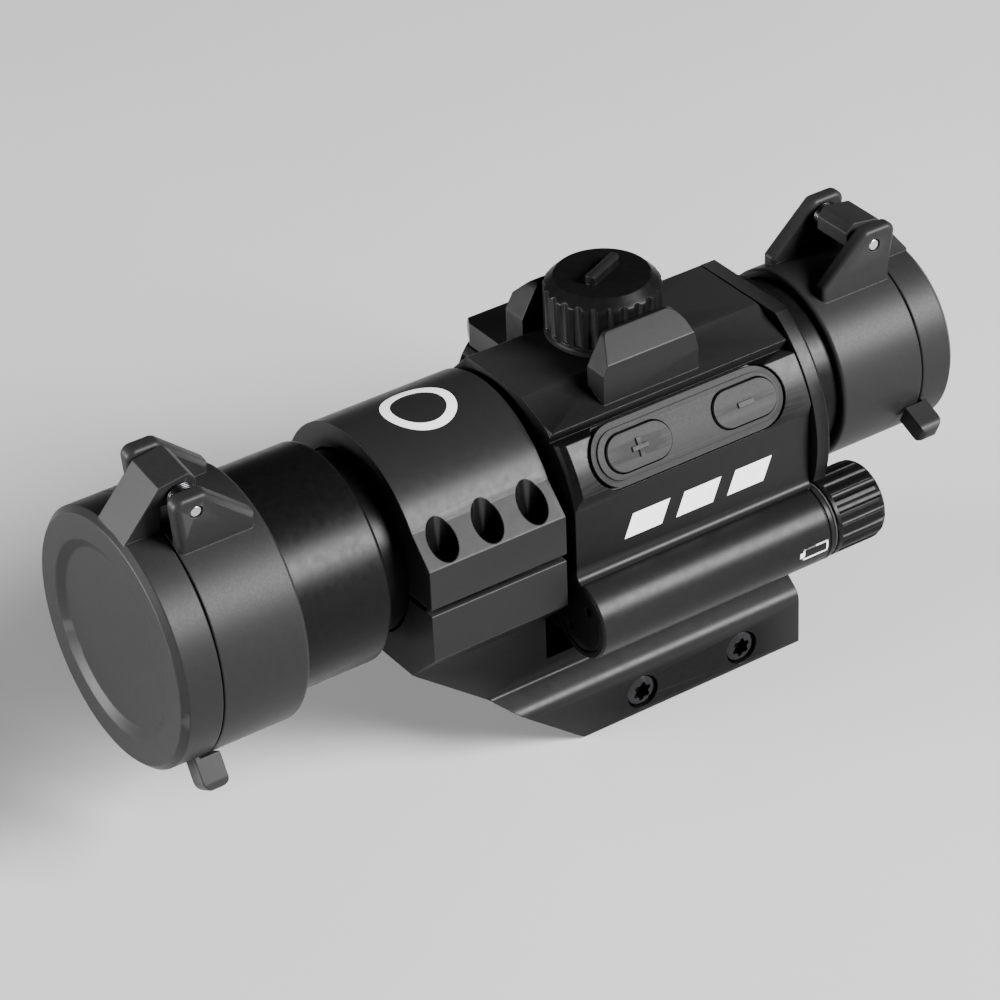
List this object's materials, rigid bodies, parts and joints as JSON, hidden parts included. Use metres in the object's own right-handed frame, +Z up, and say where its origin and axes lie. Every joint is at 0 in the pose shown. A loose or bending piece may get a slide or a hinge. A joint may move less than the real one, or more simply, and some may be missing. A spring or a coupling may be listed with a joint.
{
  "type": "tube collimating sight",
  "caption": "Black tube sight with flip-open lens caps, side battery tube, rubber keys and a cantilever clamp base for an accessory rail.",
  "frame": {"origin": "on the flat rail seat, midway between the two clamp screws", "axes": "+X along the line of sight towards the eye, +Z up from the rail, so -Y is the side with the keys and the battery tube"},
  "size_m": [0.1506, 0.0606, 0.0725],
  "materials": {
    "anodised": "fine satin black anodising",
    "dark_plastic": "moulded black plastic with a fine matte texture",
    "rubber": "matte dark grey silicone rubber",
    "steel": "turned steel, lightly oiled",
    "black_screw": "black oxide on steel, semi-gloss",
    "brass": "turned brass",
    "white_print": "white printed marks",
    "coated_glass": "polished glass with a coating",
    "circuit_board": "green solder mask",
    "cell_foil": "plain printed foil sleeve"
  },
  "bodies": {
    "housing": {"main_housing": "anodised", "rear_collar": "anodised", "objective_retainer": "anodised", "eyepiece_retainer": "anodised", "battery_front_plug": "anodised", "ring_cap": "anodised", "mount_base": "anodised", "front_cap_sleeve": "dark_plastic", "rear_cap_sleeve": "dark_plastic", "objective_seal": "rubber", "key_pad": "rubber", "centring_spring": "steel", "plus_switch": "steel", "minus_switch": "steel", "front_hinge_pin": "steel", "front_lid_spring": "steel", "rear_hinge_pin": "steel", "rear_lid_spring": "steel", "ring_screw_1": "black_screw", "ring_screw_2": "black_screw", "ring_screw_3": "black_screw", "ring_screw_4": "black_screw", "ring_screw_5": "black_screw", "ring_screw_6": "black_screw", "front_contact": "brass", "objective_lens": "coated_glass", "eyepiece_lens": "coated_glass", "control_board": "circuit_board", "battery_cell": "cell_foil"},
    "gimbal_ring": {"gimbal_ring": "brass"},
    "inner_optics": {"inner_tube": "anodised", "emitter_holder": "anodised", "led_emitter": "brass"},
    "elevation_dial": {"elevation_adjuster": "brass"},
    "elevation_cap_lift": {"elevation_cap_seal": "rubber"},
    "elevation_cap": {"elevation_cap": "anodised"},
    "windage_dial": {"windage_adjuster": "brass"},
    "windage_cap_lift": {"windage_cap_seal": "rubber"},
    "windage_cap": {"windage_cap": "anodised"},
    "plus_key": {"plus_key": "rubber"},
    "minus_key": {"minus_key": "rubber"},
    "battery_cap_lift": {"battery_cap_seal": "rubber", "battery_spring": "steel"},
    "battery_cap": {"battery_cap": "anodised"},
    "front_lid": {"front_lid": "dark_plastic"},
    "rear_lid": {"rear_lid": "dark_plastic"},
    "clamp_screw_1": {"clamp_screw_1": "black_screw"},
    "clamp_screw_2": {"clamp_screw_2": "black_screw"},
    "clamp_jaw": {"clamp_jaw": "anodised"}
  },
  "joints": [
    {"name": "front_lid_open", "type": "hinge", "parent": "housing", "child": "front_lid", "pos_m": [-0.085, -0.00449, 0.06283], "axis": [0, 0.9863, 0.165], "range_deg": [0, 105]},
    {"name": "rear_lid_open", "type": "hinge", "parent": "housing", "child": "rear_lid", "pos_m": [0.0453, 0, 0.0577], "axis": [0, -1, 0], "range_deg": [0, 105]},
    {"name": "plus_key_press", "type": "slide", "parent": "housing", "child": "plus_key", "axis": [0, 0.866, -0.5], "range_m": [0, 0.0006], "stiffness_N_per_m": 400},
    {"name": "minus_key_press", "type": "slide", "parent": "housing", "child": "minus_key", "axis": [0, 0.866, -0.5], "range_m": [0, 0.0006], "stiffness_N_per_m": 400},
    {"name": "elevation_dial_turn", "type": "hinge", "parent": "housing", "child": "elevation_dial", "pos_m": [-0.0029, 0, 0.036], "axis": [0, 0, 1], "range_deg": [-450, 450]},
    {"name": "windage_dial_turn", "type": "hinge", "parent": "housing", "child": "windage_dial", "pos_m": [-0.0029, 0, 0.036], "axis": [0, 1, 0], "range_deg": [-450, 450]},
    {"name": "optics_pitch", "type": "hinge", "parent": "housing", "child": "gimbal_ring", "pos_m": [0.035, 0, 0.036], "axis": [0, 1, 0], "range_deg": [-1.2, 1.2]},
    {"name": "optics_yaw", "type": "hinge", "parent": "gimbal_ring", "child": "inner_optics", "pos_m": [0.035, 0, 0.036], "axis": [0, 0, 1], "range_deg": [-1.2, 1.2]},
    {"name": "elevation_cap_raise", "type": "slide", "parent": "housing", "child": "elevation_cap_lift", "axis": [0, 0, 1], "range_m": [0, 0.004]},
    {"name": "elevation_cap_turn", "type": "hinge", "parent": "elevation_cap_lift", "child": "elevation_cap", "pos_m": [-0.0029, 0, 0.036], "axis": [0, 0, 1], "range_deg": [0, 1440]},
    {"name": "windage_cap_raise", "type": "slide", "parent": "housing", "child": "windage_cap_lift", "axis": [0, 1, 0], "range_m": [0, 0.004]},
    {"name": "windage_cap_turn", "type": "hinge", "parent": "windage_cap_lift", "child": "windage_cap", "pos_m": [-0.0029, 0, 0.036], "axis": [0, 1, 0], "range_deg": [0, 1440]},
    {"name": "battery_cap_back_out", "type": "slide", "parent": "housing", "child": "battery_cap_lift", "axis": [1, 0, 0], "range_m": [0, 0.0032]},
    {"name": "battery_cap_turn", "type": "hinge", "parent": "battery_cap_lift", "child": "battery_cap", "pos_m": [0, -0.0219, 0.0218], "axis": [1, 0, 0], "range_deg": [0, 1440]},
    {"name": "clamp_screw_1_turn", "type": "hinge", "parent": "housing", "child": "clamp_screw_1", "pos_m": [-0.01, 0, -0.0006], "axis": [0, -1, 0], "range_deg": [0, 1080]},
    {"name": "clamp_screw_2_turn", "type": "hinge", "parent": "housing", "child": "clamp_screw_2", "pos_m": [0.01, 0, -0.0006], "axis": [0, -1, 0], "range_deg": [0, 1080]},
    {"name": "clamp_jaw_open", "type": "slide", "parent": "housing", "child": "clamp_jaw", "axis": [0, 1, 0], "range_m": [0, 0.0024]}
  ],
  "couplings": [
    {"joint": "optics_pitch", "follows": "elevation_dial_turn", "ratio": 0.0021},
    {"joint": "optics_yaw", "follows": "windage_dial_turn", "ratio": -0.0021},
    {"joint": "elevation_cap_turn", "follows": "elevation_cap_raise", "rad_per_m": 6283.2},
    {"joint": "windage_cap_turn", "follows": "windage_cap_raise", "rad_per_m": 6283.2},
    {"joint": "battery_cap_turn", "follows": "battery_cap_back_out", "rad_per_m": 7854},
    {"joint": "clamp_screw_1_turn", "follows": "clamp_jaw_open", "rad_per_m": 7854},
    {"joint": "clamp_screw_2_turn", "follows": "clamp_jaw_open", "rad_per_m": 7854}
  ]
}
